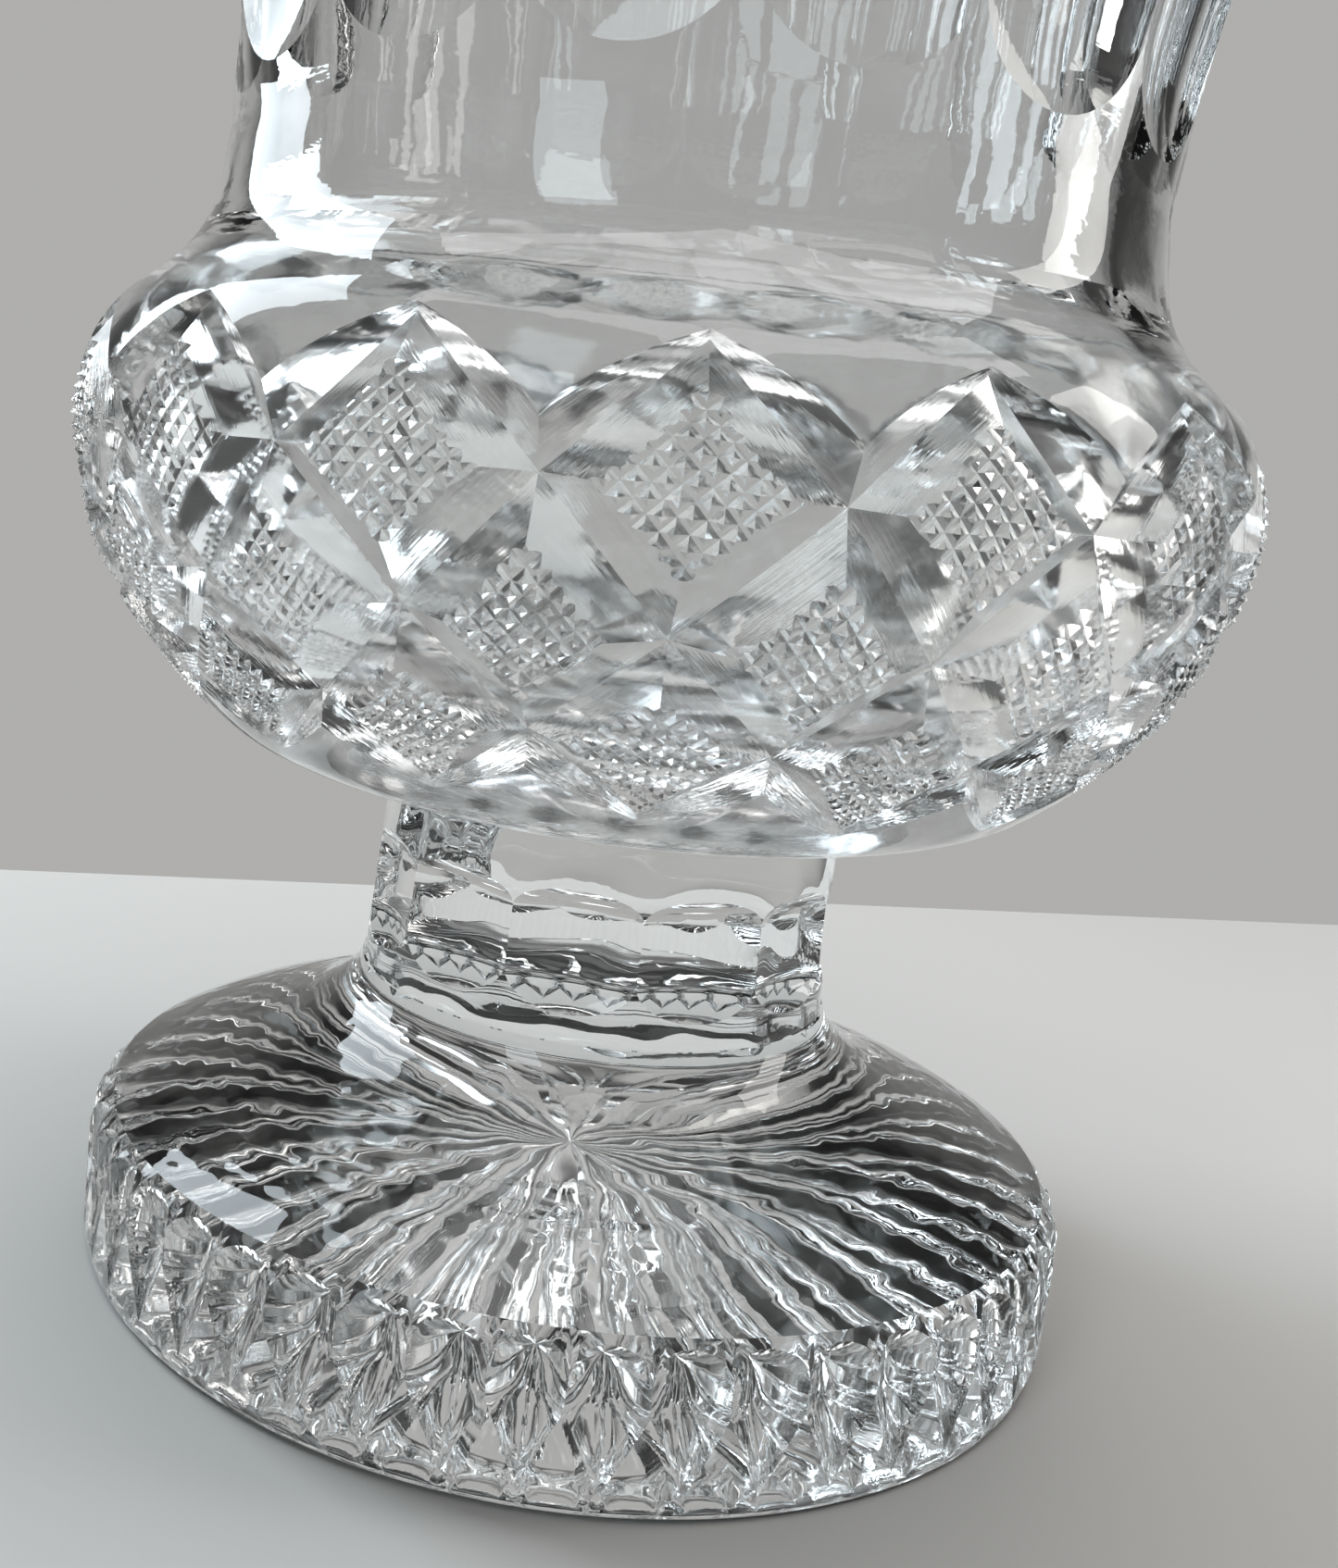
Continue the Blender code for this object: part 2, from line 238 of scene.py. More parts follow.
class Shell:
    """Collects patches of points and welds them into one closed mesh."""

    def __init__(self):
        self.points, self.faces, self.slots, self.ground, self.count = [], [], [], [], 0

    def patch(self, grid, slot, closed=False, upright=False):
        """A grid of points as quads, ground along its rows, or along its columns if upright."""
        rows, columns = grid.shape[:2]
        index = self.count + np.arange(rows * columns).reshape(rows, columns)
        if closed:
            index = np.hstack([index, index[:, :1]])
        low, right = index[:-1, :-1], index[:-1, 1:]
        top, far = index[1:, :-1], index[1:, 1:]
        faces = np.stack([low, right, far, top], -1).reshape(-1, 4)
        row, column = np.divmod(np.arange(len(faces)), index.shape[1] - 1)
        corners = [[row, row, row + 1, row + 1], [column, column + 1, column + 1, column]]
        corners = np.stack(sum(reversed(corners) if upright else corners, []), -1)
        self.ground.append(corners.reshape(-1, 2, 4).swapaxes(1, 2).reshape(-1, 2))
        self.points.append(grid.reshape(-1, 3))
        self.faces += faces.tolist()
        self.slots += [slot] * len(faces)
        self.count += rows * columns

    def repeated(self, grid, slot, repeats, upright=False):
        for index in range(repeats):
            self.patch(turned(grid, math.tau * index / repeats), slot, upright=upright)

    def polygons(self, points, faces, slots, repeats, ground):
        """Faces over the points, with each corner's place across and along the grinding."""
        for index in range(repeats):
            self.points.append(turned(points, math.tau * index / repeats))
            self.ground.append(np.asarray(ground, float))
            self.faces += [[self.count + corner for corner in face] for face in faces]
            self.slots += slots
            self.count += len(points)

    def fringe(self, line, posts, row, slot, repeats):
        """Faces from a diamond's side to a row with one point for each of that side's posts."""
        faces = [list(range(start, end + 1)) + [len(line) + k + 1, len(line) + k]
                 for k, (start, end) in enumerate(zip(posts, posts[1:]))]
        ground = [(int(corner >= len(line)), corner % len(line)) for face in faces for corner in face]
        self.polygons(np.vstack([line, row]), faces, [slot] * len(faces), repeats, ground)

    def fan(self, ring, height, slot):
        """Faces from a ring to a point on the axis."""
        centre = np.broadcast_to([0.0, 0.0, height], ring.shape)
        self.patch(np.stack([ring, centre]), slot, closed=True)

    def build(self, name, materials, warp, sharp_degrees):
        points = warp(np.vstack(self.points)) * MM
        mesh = bpy.data.meshes.new(name)
        mesh.from_pydata(points, [], self.faces)
        mesh.polygons.foreach_set("material_index", self.slots)
        grinding = mesh.uv_layers.new(name="grinding")
        grinding.data.foreach_set("uv", np.vstack(self.ground).ravel())
        bm = bmesh.new()
        bm.from_mesh(mesh)
        bmesh.ops.remove_doubles(bm, verts=bm.verts, dist=WELD_REACH)
        bmesh.ops.dissolve_degenerate(bm, edges=bm.edges, dist=SHORTEST_EDGE)
        bmesh.ops.recalc_face_normals(bm, faces=bm.faces)
        open_edges = sum(1 for edge in bm.edges if not edge.is_manifold)
        print(name, "faces", len(bm.faces), "open edges", open_edges)
        bm.to_mesh(mesh)
        bm.free()
        for material in materials:
            mesh.materials.append(material)
        mesh.shade_smooth()
        mesh.set_sharp_from_angle(angle=math.radians(sharp_degrees))
        piece = bpy.data.objects.new(name, mesh)
        bpy.context.scene.collection.objects.link(piece)
        return piece


class Ripples:
    """Smooth unevenness of hand-finished glass: a seeded sum of waves, in millimetres."""

    def __init__(self, seed, count, shortest, longest, height):
        maker = np.random.default_rng(seed)
        direction = maker.normal(size=(count, 3))
        direction /= np.linalg.norm(direction, axis=1)[:, None]
        wavelength = np.exp(maker.uniform(math.log(shortest), math.log(longest), count))
        self.waves = direction * (math.tau / wavelength)[:, None]
        self.phases = maker.uniform(0.0, math.tau, count)
        self.height = height * math.sqrt(2.0 / count)

    def at(self, points):
        return self.height * np.sin(points @ self.waves.T + self.phases).sum(axis=-1)


# ---------------------------------------------------------------- the bulb's lattice of cuts

OUT = Outline(OUTER)


def node(letter, half_steps):
    """Bottom of the V cuts at a crossing, so many half repeats round from the front."""
    height, depth = CROSSINGS[letter]
    return OUT.point(half_steps * STEP / 2.0, OUT.along(height), depth)


class Facet:
    """One flat side of a V cut between two crossings, on the side of a given point."""

    def __init__(self, start, end, inside):
        (letter_0, turn_0), (letter_1, turn_1) = start, end
        self.start, self.end = node(*start), node(*end)
        along = unit(self.end - self.start)
        middle_angle = (turn_0 + turn_1) * STEP / 4.0
        middle = 0.5 * (OUT.along(CROSSINGS[letter_0][0]) + OUT.along(CROSSINGS[letter_1][0]))
        outward = OUT.normal(middle_angle, middle)
        outward = unit(outward - along * (outward @ along))
        aside = np.cross(along, outward)
        if (inside - self.start) @ aside < 0.0:
            aside = -aside
        upper, lower = CUT_SIDES["".join(sorted(letter_0 + letter_1))]
        rise = math.radians(upper if aside[2] > 0.0 else lower)
        self.face = outward * math.cos(rise) - aside * math.sin(rise)

    def above(self, point):
        return (point - self.start) @ self.face


class Diamond:
    """One diamond between four V cuts, in shares p and q of the way across it from its top.

    Its surface is the deepest, at each place, of the uncut outline, the flat sides of the four V
    cuts round it and the fine V cuts across it. It is cut up along the lines where these meet."""

    SAME = 1e-6             # depths closer than this count as equal, in millimetres
    NEAR = 1e-4             # and closer than this once a place is found by interpolation
    SLOTS = [SMOOTH] + [CUTS] * 4 + [FINE] * 2      # for the surfaces in the order of depths
    DOWNWARDS = (2, 4)      # the surfaces that are ground along q, and the others along p

    def __init__(self, letters, turn):
        top, side, bottom = letters
        spots = [(top, turn), (side, turn + 1), (bottom, turn), (side, turn - 1)]
        centre = OUT.point(turn * STEP / 2.0, OUT.along(CROSSINGS[side][0]))
        self.facets = [Facet(spots[i], spots[(i + 1) % 4], centre) for i in range(4)]
        self.share = np.linspace(0.0, 1.0, 10 * LINES + 1)
        self.edges = []
        for facet, forward in zip(self.facets, (True, True, False, False)):
            along = self.share if forward else 1.0 - self.share
            points = facet.start + along[:, None] * (facet.end - facet.start)
            self.edges.append(np.stack(OUT.locate(points)))
        self.cuts = np.array(FINE_CUTS) / LINES
        self.marks = {}
        self.known = {}

    def edge(self, index, share):
        """Angles and lengths of places along one side."""
        return np.stack([np.interp(share, self.share, row) for row in self.edges[index]])

    def place(self, p, q):
        """Angle and length of a place on the diamond, blended from its four sides."""
        upper, right, lower, left = self.edge(0, p), self.edge(1, q), self.edge(2, p), self.edge(3, q)
        corners = sum(k[:, None] * w for k, w in zip(
            (self.edges[0][:, 0], self.edges[0][:, -1], self.edges[2][:, 0], self.edges[2][:, -1]),
            ((1 - p) * (1 - q), p * (1 - q), (1 - p) * q, p * q)))
        return (1 - q) * upper + q * lower + (1 - p) * left + p * right - corners

    def depths(self, p, q):
        """Depths of all the surfaces: the outline, the four sides and the two sets of fine cuts."""
        angle, length = self.place(p, q)
        surface, normal = OUT.point(angle, length), OUT.normal(angle, length)
        rows = [np.zeros_like(p)]
        rows += [facet.above(surface) / (normal @ facet.face) for facet in self.facets]
        room = np.clip(LINES * np.minimum.reduce([p, q, 1.0 - p, 1.0 - q]), 0.0, 1.0)
        for share in (p, q):
            nearest = np.abs(share[:, None] - self.cuts).min(axis=1) * LINES
            profile = np.interp(nearest, (0.0, 0.5, 1.0), (1.0, FINE_KNEE, 0.0))
            rows.append(FINE_DEPTH * room * profile)
        return np.stack(rows)

    def at(self, spot):
        """Depths at one place, worked out once."""
        if spot not in self.known:
            self.known[spot] = self.depths(np.array([spot[0]]), np.array([spot[1]]))[:, 0]
        return self.known[spot]

    def crossing(self, here, there, one, other):
        """The place between two others where two of the surfaces are equally deep."""
        here, there = sorted([here, there])
        share = np.linspace(0.0, 1.0, 17)
        p = here[0] + share * (there[0] - here[0])
        q = here[1] + share * (there[1] - here[1])
        depths = self.depths(p, q)
        gap = depths[one] - depths[other]
        first = int(np.argmax(gap[:-1] * gap[1:] <= 0.0))
        part = gap[first] / (gap[first] - gap[first + 1])
        found = share[first] + part * (share[first + 1] - share[first])
        return tuple(round(a + found * (b - a), 9) for a, b in zip(here, there))

    def halves(self, polygon, one, other):
        """The two parts of a polygon on either side of the line where two surfaces meet."""
        parts = ([], [])
        gaps = [self.at(spot)[one] - self.at(spot)[other] for spot, _ in polygon]
        seam = ("seam", len(self.marks))
        for (spot, line), gap, (next_spot, _), next_gap in zip(
                polygon, gaps, polygon[1:] + polygon[:1], gaps[1:] + gaps[:1]):
            for part, side in zip(parts, (1.0, -1.0)):
                if gap * side >= -self.SAME:
                    leaves = abs(gap) <= self.SAME and next_gap * side < -self.SAME
                    part.append((spot, seam if leaves else line))
            if min(gap, next_gap) < -self.SAME and max(gap, next_gap) > self.SAME:
                middle = self.crossing(spot, next_spot, one, other)
                self.marks.setdefault(line, set()).add(middle)
                for part, side in zip(parts, (1.0, -1.0)):
                    part.append((middle, line if next_gap * side > 0.0 else seam))
        self.marks.setdefault(seam, set()).update(
            spot for part in parts for spot, _ in part
            if abs(self.at(spot)[one] - self.at(spot)[other]) < self.NEAR)
        return parts

    def split(self, polygon, tries=12):
        """The parts of a polygon, each with the one surface that is deepest all over it."""
        depths = np.array([self.at(spot) for spot, _ in polygon])
        deepest = depths.max(axis=1, keepdims=True)
        short = (deepest - depths).max(axis=0)
        if short.min() < self.NEAR or tries == 0:
            return [(polygon, int(short.argmin()))]
        winners = depths.argmax(axis=1)
        for i, one in enumerate(winners):
            other = winners[(i + 1) % len(winners)]
            gap = depths[:, one] - depths[:, other]
            if gap.max() > self.SAME and gap.min() < -self.SAME:
                return [found for part in self.halves(polygon, one, other) if len(part) > 2
                        for found in self.split(part, tries - 1)]
        return [(polygon, int(short.argmin()))]

    def with_marks(self, polygon):
        """The polygon's places, with those that its neighbours have on the same lines."""
        spots = []
        for (spot, line), (next_spot, _) in zip(polygon, polygon[1:] + polygon[:1]):
            run = np.subtract(next_spot, spot)
            reach = run @ run
            if reach < 1e-14:
                continue
            between = []
            for mark in self.marks.get(line, ()):
                share = np.subtract(mark, spot) @ run / reach
                if 1e-5 < share < 1.0 - 1e-5:
                    between.append((share, mark))
            spots += [spot] + [mark for _, mark in sorted(between)]
        return spots

    def add_to(self, shell):
        """Cut the diamond's squares up along its edges and add them, once for each repeat."""
        found = []
        for p0, p1 in zip(GRID, GRID[1:]):
            for q0, q1 in zip(GRID, GRID[1:]):
                square = [(p0, q0), (p1, q0), (p1, q1), (p0, q1)]
                lines = [tuple(sorted(pair)) for pair in zip(square, square[1:] + square[:1])]
                found += self.split(list(zip(square, lines)))
        spots, faces, slots, ground = {}, [], [], []
        for polygon, surface in found:
            corners = self.with_marks(polygon)
            if len(corners) > 2:
                faces.append([spots.setdefault(spot, len(spots)) for spot in corners])
                slots.append(self.SLOTS[surface])
                order = 1 if surface in self.DOWNWARDS else -1
                ground += [(p * LINES, q * LINES)[::order] for p, q in corners]
        p, q = np.array(list(spots)).T
        angle, length = self.place(p, q)
        points = OUT.point(angle, length, self.depths(p, q).max(axis=0))
        shell.polygons(points, faces, slots, REPEATS, ground)


def run_out(start, end, upwards):
    """The outer side of a V cut: its rows of points, and the angles and lengths where it runs out."""
    beyond = OUT.point(STEP / 4.0, OUT.along(RIM_TOP) if upwards else 0.0)
    facet = Facet(start, end, beyond)
    share = np.linspace(0.0, 1.0, LINES + 1)
    groove = facet.start + share[:, None] * (facet.end - facet.start)
    turns = (start[1] + share * (end[1] - start[1])) * STEP / 2.0
    reach = np.linspace(0.0, RUN_OUT_REACH, 3201) * (1.0 if upwards else -1.0)
    edge_lengths = []
    for turn, length in zip(turns, OUT.along(groove[:, 2])):
        tries = length + reach
        inside = np.nonzero(facet.above(OUT.point(turn, tries)) > 0.0)[0]
        edge_lengths.append(tries[inside[-1]] if len(inside) else length)
    edge_lengths = np.array(edge_lengths)
    shares = GRID if upwards else [round(1.0 - share, 9) for share in reversed(GRID)]
    line = facet.start + np.array(shares)[:, None] * (facet.end - facet.start)
    posts = [shares.index(round(k / LINES, 9)) for k in range(LINES + 1)]
    return line, posts, mixed(groove, OUT.point(turns, edge_lengths), 3), turns, edge_lengths


def mirrored(points, angle):
    """Points mirrored in the upright plane at an angle from the front."""
    flipped = turned(points, -angle) * np.array([-1.0, 1.0, 1.0])
    return turned(flipped, angle)


def lattice(shell):
    """All the V cuts of the bulb. Returns its upper and lower edge over one repeat."""
    for letters, turn in (("ABC", 0), ("BCD", 1), ("CDE", 0)):
        Diamond(letters, turn).add_to(shell)
    edges = []
    for start, end, upwards in ((("A", 0), ("B", 1), True), (("E", 0), ("D", 1), False)):
        line, posts, grid, turns, lengths = run_out(start, end, upwards)
        for flip in (lambda points: points, lambda points: mirrored(points, STEP / 2.0)):
            shell.repeated(flip(grid[1:]), CUTS, REPEATS)
            shell.fringe(flip(line), posts, flip(grid[1]), CUTS, REPEATS)
        angles = np.concatenate([turns, (STEP - turns[::-1])[1:]])
        edges.append((angles, np.concatenate([lengths, lengths[::-1][1:]])))
    return edges


# ---------------------------------------------------------------- bowl

def rows_between(low_angles, low, high_angles, high, count):
    """Rows of (angles, lengths) from one edge of the outline to another."""
    for share in np.linspace(0.0, 1.0, count + 1):
        yield low_angles * (1 - share) + high_angles * share, low * (1 - share) + high * share


def make_bowl(materials):
    shell = Shell()
    (top_angles, top_lengths), (low_angles, low_lengths) = lattice(shell)
    posts = range(0, 2 * LINES + 1, 2)
    columns = LINES + 1

    rows = [OUT.point(a, s) for a, s in rows_between(
        low_angles[::2], np.zeros(columns), low_angles[::2], low_lengths[::2], count=16)]
    shell.repeated(np.stack(rows[:-1]), SMOOTH, REPEATS)
    shell.fringe(OUT.point(low_angles, low_lengths), posts, rows[-2], SMOOTH, REPEATS)
    seam_ring = rows[0]

    across = np.sin(np.linspace(-math.pi / 2.0, math.pi / 2.0, columns))
    flute_angles = STEP / 2.0 * (1.0 + across)
    arc = NECK_FLUTE_START + (NECK_FLUTE_FULL - NECK_FLUTE_START) * (1.0 - np.sqrt(1.0 - across ** 2))
    rows = [OUT.point(a, s) for a, s in rows_between(
        top_angles[::2], top_lengths[::2], flute_angles, OUT.along(arc), count=34)]
    shell.fringe(OUT.point(top_angles, top_lengths), posts, rows[1], SMOOTH, REPEATS)
    shell.repeated(np.stack(rows[1:]), SMOOTH, REPEATS)

    def neck_point(height, scallop=0.0, inset=0.0):
        """A row across one flute, whose ends may dip and which may be moved inwards."""
        end = np.clip((NECK_FLUTE_FULL - height) / (NECK_FLUTE_FULL - NECK_FLUTE_START), 0.0, 1.0)
        depth = NECK_FLUTE_DEPTH * np.maximum(0.0, 1.0 - across ** 2 - end ** 2)
        radius = OUT.radius_at(height) - depth - inset
        return polar(radius, flute_angles, height - scallop * across ** 2)

    lip = OUTER[-1][1]
    rows = [neck_point(arc + (NECK_LEVEL - arc) * share) for share in np.linspace(0.0, 1.0, 17)]
    for height in np.linspace(NECK_LEVEL, lip, 40)[1:]:
        dip = RIM_SCALLOP * ((height - NECK_LEVEL) / (lip - NECK_LEVEL)) ** 6
        rows.append(neck_point(height, scallop=dip))
    for turn in np.radians([20.0, 45.0, 70.0, 90.0]):
        rows.append(neck_point(lip + (RIM_TOP - lip) * math.sin(turn), scallop=RIM_SCALLOP,
                               inset=LIP_RADIUS * (1.0 - math.cos(turn))))
    shell.repeated(np.stack(rows), FLUTES, REPEATS)

    inside = Outline(INNER[::-1])
    inner_top = rows[-1]
    rows = [inner_top]
    rim_radius = np.hypot(inner_top[:, 0], inner_top[:, 1])
    for turn in np.radians([30.0, 60.0, 90.0]):
        radius = rim_radius + (INNER[0][0] - rim_radius) * math.sin(turn)
        height = inner_top[:, 2] + (INNER[0][1] - inner_top[:, 2]) * (1.0 - math.cos(turn))
        rows.append(polar(radius, flute_angles, height))
    # Below the rim the columns soon turn from the flutes' spacing to an even one.
    even_angles = np.linspace(0.0, STEP, columns)
    for share in np.linspace(1.0, 0.0, 90)[1:]:
        mix = min(1.0, (1.0 - share) * 12.0)
        rows.append(inside.point(flute_angles * (1 - mix) + even_angles * mix, inside.end * share))
    shell.repeated(np.stack(rows), INSIDE, REPEATS)
    shell.fan(whole_ring(rows[-1], REPEATS), INNER[-1][1], INSIDE)
    shell.fan(whole_ring(seam_ring, REPEATS), SEAM_HIGH, BOWL_SEAM)

    wander = Ripples(seed=3, count=18, shortest=25.0, longest=70.0, height=0.25)
    inner_ripple = Ripples(seed=5, count=40, shortest=8.0, longest=24.0, height=0.05)

    def warp(points):
        """Hand work: the cuts wander a little, and the inside is gently rippled."""
        radius = np.hypot(points[:, 0], points[:, 1])
        angle = np.arctan2(points[:, 0], -points[:, 1])
        height = points[:, 2]
        on_cuts = within(height, *CUT_BAND, fade=6.0)
        angle = angle + on_cuts * wander.at(points) / np.maximum(radius, 1.0)
        is_inner = (radius < inside.radius_at(height) + 0.5) & (height > INNER[-1][1] - 0.1)
        strength = np.interp(height, *zip(*INNER_RIPPLES))
        swell = np.where(is_inner, inner_ripple.at(points), 0.0) * strength
        scale = 1.0 + swell / np.maximum(radius, 4.0)
        return polar(radius * scale, angle, height)

    return shell.build("bowl_cut_glass", materials, warp, sharp_degrees=12.0)


# ---------------------------------------------------------------- stem

def make_stem(materials):
    shell = Shell()
    per_cut = 24
    across = np.sin(np.linspace(-math.pi / 2.0, math.pi / 2.0, per_cut + 1))
    angles = STEM_PHASE + math.pi / STEM_CUTS * (1.0 + across)
    bulge = np.sqrt(np.maximum(0.0, 1.0 - across ** 2))
    low_arc = STEM_CUT_MIDDLE - STEM_CUT_STRAIGHT - STEM_CUT_ARC_LOW * bulge
    high_arc = STEM_CUT_MIDDLE + STEM_CUT_STRAIGHT + STEM_CUT_ARC_HIGH * bulge
    low = STEM_LOW[1] + JOINT_GAP
    high = STEM_HIGH[1] - JOINT_GAP

    def place(height):
        """A row across one thumb cut."""
        arc = np.where(height > STEM_CUT_MIDDLE, STEM_CUT_ARC_HIGH, STEM_CUT_ARC_LOW)
        end = np.maximum(0.0, (np.abs(height - STEM_CUT_MIDDLE) - STEM_CUT_STRAIGHT) / arc)
        depth = STEM_CUT_DEPTH * np.maximum(0.0, 1.0 - across ** 2 - end ** 2)
        share = (height - low) / (high - low)
        return polar(STEM_LOW[0] + share * (STEM_HIGH[0] - STEM_LOW[0]) - depth, angles, height)

    heights = [low + (low_arc - low) * share for share in np.linspace(0.0, 1.0, 11)]
    heights += [low_arc + (high_arc - low_arc) * share for share in np.linspace(0.0, 1.0, 25)[1:]]
    heights += [high_arc + (high - high_arc) * share for share in np.linspace(0.0, 1.0, 13)[1:]]
    rows = [place(height) for height in heights]
    shell.repeated(np.stack(rows), STEM_GLASS, STEM_CUTS)
    shell.fan(whole_ring(rows[0], STEM_CUTS), low, STEM_SEAM)
    shell.fan(whole_ring(rows[-1], STEM_CUTS), high, STEM_SEAM)
    ripple = Ripples(seed=13, count=24, shortest=5.0, longest=16.0, height=0.035)

    def warp(points):
        """Gentle unevenness, which fades out at the fused seams."""
        radius = np.hypot(points[:, 0], points[:, 1])
        clear = within(points[:, 2], low, high, fade=3.0)
        scale = 1.0 + clear * ripple.at(points) / np.maximum(radius, 4.0)
        return points * np.stack([scale, scale, np.ones_like(scale)], axis=1)

    return shell.build("stem_cut_glass", materials, warp, sharp_degrees=12.0)


# ---------------------------------------------------------------- foot

def make_foot(materials):
    shell = Shell()
    per_flute = 12
    across = np.linspace(-1.0, 1.0, per_flute + 1)
    angles = math.pi / FOOT_FLUTES * (1.0 + across)

    spacing = math.pi / FOOT_FLUTES      # half the angle from one ray to the next
    pair = np.concatenate([across, across[1:] + 2.0])

    def star_row(radius):
        """Two rays side by side, a long one and a short one, with flat glass between them."""
        in_long = pair <= 1.0
        opened = np.clip((radius - STAR_SHORT_START) / (STAR_RADIUS - STAR_SHORT_START), 0.0, 1.0)
        long_half = spacing * STAR_CUT_SHARE * (2.0 - opened)
        short_half = spacing * STAR_CUT_SHARE * opened
        share = np.where(in_long, pair, pair - 2.0)
        half = np.where(in_long, long_half, short_half)
        limit = np.where(in_long, spacing * (2.0 - opened), spacing * opened)
        size = np.abs(share)
        edge = STAR_CUT_COLUMNS
        flat = half + (limit - half) * (size - edge) / (1.0 - edge)
        offset = np.where(size <= edge, half * size / edge, flat)
        depth = STAR_SLOPE * radius * np.maximum(0.0, half - offset)
        turns = np.where(in_long, 0.0, 2.0 * spacing) + np.sign(share) * offset + spacing
        return turns, STAR_RELIEF + depth

    rows = []
    for radius in np.linspace(1.0, STAR_RADIUS, 30):
        turns, heights = star_row(radius)
        rows.append(polar(radius, turns, heights))
    turns, heights = star_row(STAR_RADIUS)
    for share in np.linspace(0.0, 1.0, 7)[1:]:
        radius = STAR_RADIUS + (REST_RING_INNER - STAR_RADIUS) * share
        rows.append(polar(radius, turns, heights * (1.0 - share ** 1.5)))
    shell.repeated(np.stack(rows), STAR, FOOT_FLUTES // 2, upright=True)
    shell.fan(whole_ring(rows[0], FOOT_FLUTES // 2), STAR_RELIEF, STAR)
    rim_row = rows[-1][:per_flute + 1]

    base = [rim_row, polar(REST_RING_MIDDLE, angles, 0.0), polar(REST_RING_OUTER, angles, 0.0)]
    for turn in np.radians([30.0, 60.0, 90.0]):
        base.append(polar(REST_RING_OUTER + (FOOT_RADIUS - REST_RING_OUTER) * math.sin(turn), angles,
                          FOOT_EDGE * (1.0 - math.cos(turn))))
    start = FOOT_FLUTE_START + (FOOT_FLUTE_FULL - FOOT_FLUTE_START) * np.abs(across)
    arch = FOOT_WALL_TOP + FOOT_ARCH_RISE * np.sqrt(np.maximum(0.0, 1.0 - across ** 2))
    arch_radius = FOOT_RADIUS + FOOT_ARCH_OUT - FOOT_ARCH_INSET * (1.0 - across ** 2)

    def wall(height, land_only=False):
        """A row across one flute of the wall, or of the plain glass below it."""
        width = np.clip((height - FOOT_FLUTE_START) / (FOOT_FLUTE_FULL - FOOT_FLUTE_START), 1e-6, 1.0)
        profile = np.maximum(0.0, 1.0 - (across / width) ** 2)
        top = np.clip((height - (arch - FOOT_ARCH_BLEND)) / FOOT_ARCH_BLEND, 0.0, 1.0)
        depth = FOOT_FLUTE_DEPTH * width * profile
        land = FOOT_RADIUS + FOOT_LAND * np.clip(height / FOOT_FLUTE_START, 0.0, 1.0)
        radius = land - (0.0 if land_only else depth)
        top_radius = np.minimum(arch_radius, radius + FOOT_ARCH_LIMIT)
        radius = radius * (1.0 - top ** 3) + top_radius * top ** 3
        return polar(radius, angles, height)

    base += [wall(FOOT_EDGE + (start - FOOT_EDGE) * share, land_only=True)
             for share in np.linspace(0.0, 1.0, 8)[1:]]
    base += [wall(start + (arch - start) * share) for share in np.linspace(0.0, 1.0, 19)[1:]]
    shell.repeated(np.stack(base), WALL, FOOT_FLUTES, upright=True)

    dome = Outline(DOME)
    rows = list(mixed(base[-1], polar(dome.radius[0], angles, dome.height[0]), 3))
    rows += [dome.point(angles, dome.end * share) for share in np.linspace(0.0, 1.0, 56)[1:]]
    rows[-1][:, 2] = SEAM_LOW - JOINT_GAP
    shell.repeated(np.stack(rows), TOP, FOOT_FLUTES)
    shell.fan(whole_ring(rows[-1], FOOT_FLUTES), SEAM_LOW - JOINT_GAP, FOOT_SEAM)

    wander = Ripples(seed=7, count=14, shortest=18.0, longest=60.0, height=0.3)
    uneven = Ripples(seed=17, count=40, shortest=3.5, longest=8.0, height=0.022)
    maker = np.random.default_rng(11)
    rings = [(maker.uniform(2.2, 4.6), int(maker.integers(-9, 10)), maker.uniform(0.0, math.tau))
             for _ in range(16)]     # each one's wavelength, turns round the axis and phase

    def warp(points):
        """Hand work: the cuts wander, and the domed top has faint rings, as fire-polished glass has."""
        radius = np.hypot(points[:, 0], points[:, 1])
        angle = np.arctan2(points[:, 0], -points[:, 1])
        height = points[:, 2]
        swell = sum(np.sin(math.tau * radius / wavelength + turns * angle + phase)
                    for wavelength, turns, phase in rings)
        on_top = within(height, DOME[0][1] - 1.0, SEAM_LOW - 1.0, fade=3.0)
        angle = angle + wander.at(points) / np.maximum(radius, 8.0)
        return polar(radius, angle, height + on_top * (FOOT_RIPPLE * swell + uneven.at(points)))

    return shell.build("foot_cut_glass", materials, warp, sharp_degrees=16.0)


# ---------------------------------------------------------------- materials

BUMP_HEIGHT = 0.0002                    # in metres, at full strength
GRINDING_SCALE = 2.6
GRINDING_STRETCH = (1.0, 0.05, 1.0)     # the marks are drawn out along the cuts
CLEAR_ABOVE = 0.150                     # heights in metres between which the inside clears
CLOUDY_BELOW = 0.128
CLOUDY_ROUGHNESS = 0.10


def new_material(name):
    material = bpy.data.materials.new(name)
    material.use_nodes = True
    return material, material.node_tree.nodes, material.node_tree.links


